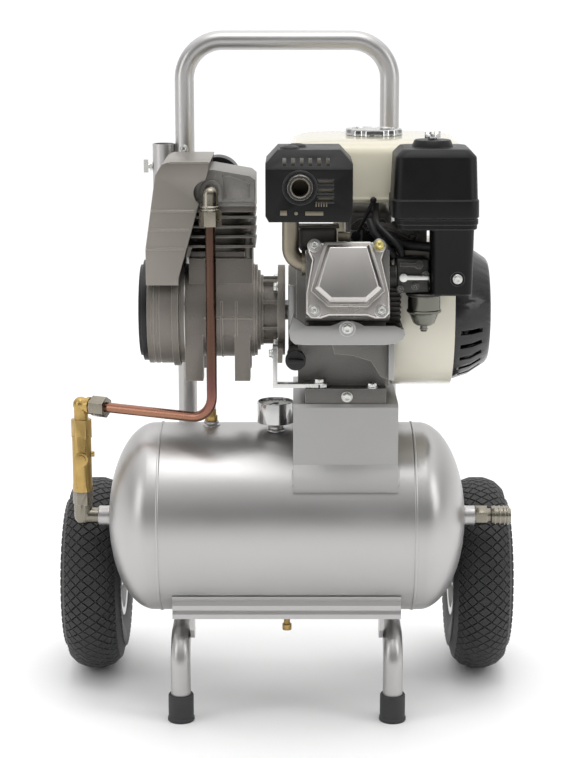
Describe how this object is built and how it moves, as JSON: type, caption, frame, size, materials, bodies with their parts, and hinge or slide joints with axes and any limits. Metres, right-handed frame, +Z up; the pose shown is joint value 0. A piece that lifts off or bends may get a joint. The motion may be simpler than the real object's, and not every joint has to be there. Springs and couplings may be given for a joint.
{
  "type": "wheelbarrow air compressor",
  "caption": "Petrol-engine air compressor: a direct-drive piston pump and overhead-valve engine above a horizontal air tank, on a wheeled tube frame with a hoop handle.",
  "frame": {"origin": "centre of the overall width and depth, on the floor", "axes": "+X to the engine side (right, seen from the front), -Y to the front where the valve cover and muffler face, +Z up along the handle"},
  "size_m": [0.595, 0.4478, 0.855],
  "materials": {
    "tank_silver": "satin silver enamel",
    "frame_silver": "satin silver enamel",
    "saddle_grey": "satin grey enamel",
    "bright_steel": "zinc plated",
    "dark_steel": "oiled steel",
    "heat_steel": "heat-tinted steel",
    "nickel": "nickel plated",
    "chrome": "polished",
    "tyre_rubber": "matt",
    "foot_rubber": "matt",
    "hose_rubber": "satin",
    "rim_metal": "satin silver enamel",
    "cast_alloy": "sand cast",
    "sheet_alloy": "pressed, satin",
    "cast_grey": "sand cast",
    "cream_paint": "gloss enamel",
    "tank_cream": "gloss enamel",
    "black_paint": "satin enamel",
    "black_plastic": "gloss",
    "black_matte": "satin",
    "copper": "drawn copper tube",
    "brass": "turned"
  },
  "bodies": {
    "chassis": {"tank_barrel": "tank_silver", "tank_heads": "tank_silver", "frame_sides": "frame_silver", "handle_hoop": "frame_silver", "foot_caps": "foot_rubber", "tank_rails": "frame_silver", "axle": "dark_steel", "accessory_socket": "frame_silver", "engine_saddle": "saddle_grey", "stay_strip": "bright_steel", "engine_block": "cast_alloy", "cylinder_head": "cast_alloy", "valve_cover": "sheet_alloy", "head_cowl": "sheet_alloy", "fasteners": "bright_steel", "recoil_cover": "black_plastic", "fan_shroud": "cream_paint", "fuel_tank": "tank_cream", "carburetor": "cast_grey", "fuel_hose": "hose_rubber", "muffler": "heat_steel", "muffler_guard": "black_paint", "air_cleaner_base": "black_paint", "pump_crankcase": "cast_alloy", "pump_cylinder": "cast_grey", "pump_head": "cast_grey", "intake_filter": "black_matte", "fan_duct": "saddle_grey", "fan_housing": "cast_alloy", "fan_cover": "black_matte", "delivery_pipe": "copper", "pipe_fittings": "nickel", "check_valve": "brass", "coupler_body": "nickel", "gauge_case": "chrome", "safety_valve": "brass", "drain_valve": "brass"},
    "wheel_left": {"tyre_left": "tyre_rubber", "rim_left": "rim_metal"},
    "wheel_right": {"tyre_right": "tyre_rubber", "rim_right": "rim_metal"},
    "crank": {"crankshaft": "dark_steel", "flywheel": "cast_grey", "pump_fan": "black_matte"},
    "starter": {"starter_pulley": "black_matte"},
    "grip": {"starter_grip": "black_matte"},
    "engine_piston": {"engine_piston": "cast_alloy"},
    "pump_piston": {"pump_piston": "cast_alloy"},
    "oil_cap": {"oil_cap": "black_plastic"},
    "fuel_cap": {"fuel_cap": "chrome"},
    "fuel_tap": {"fuel_tap_lever": "bright_steel"},
    "choke": {"choke_lever": "bright_steel"},
    "throttle": {"throttle_lever": "black_matte"},
    "cleaner_cover": {"air_cleaner_cover": "black_paint"},
    "wing_nut": {"wing_nut": "bright_steel"},
    "coupler": {"coupler_sleeve": "nickel"},
    "needle": {"gauge_needle": "black_matte"},
    "safety_ring": {"safety_ring": "bright_steel"},
    "drain": {"drain_knob": "brass"},
    "socket_screw": {"socket_screw": "bright_steel"}
  },
  "joints": [
    {"name": "wheel_left_spin", "type": "hinge", "parent": "chassis", "child": "wheel_left", "pos_m": [-0.2575, 0.09387, 0.13], "axis": [1, 0, 0], "continuous": true},
    {"name": "wheel_right_spin", "type": "hinge", "parent": "chassis", "child": "wheel_right", "pos_m": [0.2575, 0.09387, 0.13], "axis": [1, 0, 0], "continuous": true},
    {"name": "crank_spin", "type": "hinge", "parent": "chassis", "child": "crank", "pos_m": [0, -0.03113, 0.514], "axis": [1, 0, 0], "continuous": true},
    {"name": "pulley_wind", "type": "hinge", "parent": "chassis", "child": "starter", "pos_m": [0.216, -0.03113, 0.514], "axis": [1, 0, 0], "range_deg": [-5, 965]},
    {"name": "starter_pull", "type": "slide", "parent": "chassis", "child": "grip", "axis": [0, 0.9063, 0.4226], "range_m": [0, 0.5]},
    {"name": "engine_stroke", "type": "slide", "parent": "chassis", "child": "engine_piston", "axis": [0, -0.9397, 0.342], "range_m": [-0.045, 0]},
    {"name": "pump_stroke", "type": "slide", "parent": "chassis", "child": "pump_piston", "axis": [0, 0, 1], "range_m": [-0.046, 0]},
    {"name": "oil_cap_turn", "type": "hinge", "parent": "chassis", "child": "oil_cap", "pos_m": [0.011, -0.11414, 0.466], "axis": [0, -1, 0], "range_deg": [0, 360]},
    {"name": "fuel_cap_turn", "type": "hinge", "parent": "chassis", "child": "fuel_cap", "pos_m": [0.109, 0.00386, 0.735], "axis": [0, 0, 1], "range_deg": [0, 90]},
    {"name": "fuel_tap_turn", "type": "hinge", "parent": "chassis", "child": "fuel_tap", "pos_m": [0.138, -0.17014, 0.577], "axis": [0, 1, 0], "range_deg": [0, 90]},
    {"name": "choke_turn", "type": "hinge", "parent": "chassis", "child": "choke", "pos_m": [0.156, -0.17014, 0.592], "axis": [0, 1, 0], "range_deg": [0, 60]},
    {"name": "throttle_turn", "type": "hinge", "parent": "chassis", "child": "throttle", "pos_m": [0.084, -0.09513, 0.616], "axis": [0, -1, 0], "range_deg": [0, 50]},
    {"name": "cover_lift", "type": "slide", "parent": "chassis", "child": "cleaner_cover", "axis": [0, 0, 1], "range_m": [0, 0.12]},
    {"name": "wing_nut_turn", "type": "hinge", "parent": "cleaner_cover", "child": "wing_nut", "pos_m": [0.172, -0.14114, 0.74], "axis": [0, 0, 1], "continuous": true},
    {"name": "coupler_pull", "type": "slide", "parent": "chassis", "child": "coupler", "axis": [-1, 0, 0], "range_m": [0, 0.005], "stiffness_N_per_m": 1500, "springref_m": -0.003},
    {"name": "needle_swing", "type": "hinge", "parent": "chassis", "child": "needle", "pos_m": [-0.014, -0.05113, 0.398], "axis": [0, 0, -1], "range_deg": [0, 270]},
    {"name": "safety_ring_pull", "type": "slide", "parent": "chassis", "child": "safety_ring", "axis": [0, 0, 1], "range_m": [0, 0.003], "stiffness_N_per_m": 2000, "springref_m": -0.003},
    {"name": "drain_knob_turn", "type": "hinge", "parent": "chassis", "child": "drain", "pos_m": [0, -0.03113, 0.105], "axis": [0, 0, 1], "range_deg": [0, 360]},
    {"name": "socket_screw_turn", "type": "hinge", "parent": "chassis", "child": "socket_screw", "pos_m": [-0.1616, 0.12087, 0.6795], "axis": [1, 0, 0], "continuous": true}
  ],
  "couplings": [
    {"joint": "pulley_wind", "follows": "starter_pull", "rad_per_m": 33.333}
  ]
}
